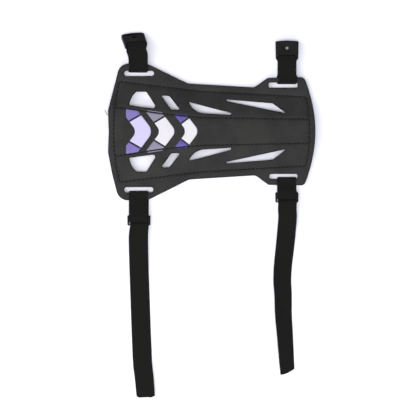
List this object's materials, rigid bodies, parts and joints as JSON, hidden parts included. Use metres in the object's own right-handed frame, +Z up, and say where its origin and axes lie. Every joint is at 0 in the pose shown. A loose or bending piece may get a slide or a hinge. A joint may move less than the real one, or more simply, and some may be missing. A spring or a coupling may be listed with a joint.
{
  "type": "archery arm guard",
  "caption": "Vented archery forearm guard: folded black panel with chevron inlays, short elastic straps with buckles and long elastic straps with sliders, lying flat.",
  "frame": {"origin": "middle of the footprint, on the table", "axes": "+X from the elbow end to the wrist end, +Y across the forearm towards the buckles, +Z up out of the panel's outer face"},
  "size_m": [0.1758, 0.3098, 0.018],
  "materials": {
    "panel_synthetic_leather": "matte",
    "elastic_webbing": "matte woven",
    "moulded_plastic": "satin",
    "inlay_1_centre": "matte",
    "inlay_1_ends": "matte",
    "inlay_2_centre": "matte",
    "inlay_2_ends": "matte",
    "inlay_3_centre": "matte",
    "inlay_3_ends": "matte"
  },
  "bodies": {
    "root": {"guard_panel": "panel_synthetic_leather", "chevron_1_centre": "inlay_1_centre", "chevron_1_upper": "inlay_1_ends", "chevron_1_lower": "inlay_1_ends", "chevron_2_centre": "inlay_2_centre", "chevron_2_upper": "inlay_2_ends", "chevron_2_lower": "inlay_2_ends", "chevron_3_centre": "inlay_3_centre", "chevron_3_upper": "inlay_3_ends", "chevron_3_lower": "inlay_3_ends", "short_strap_elbow": "elastic_webbing", "long_strap_elbow": "elastic_webbing", "buckle_elbow": "moulded_plastic", "slider_elbow": "moulded_plastic", "short_strap_wrist": "elastic_webbing", "long_strap_wrist": "elastic_webbing", "buckle_wrist": "moulded_plastic", "slider_wrist": "moulded_plastic"}
  },
  "joints": []
}
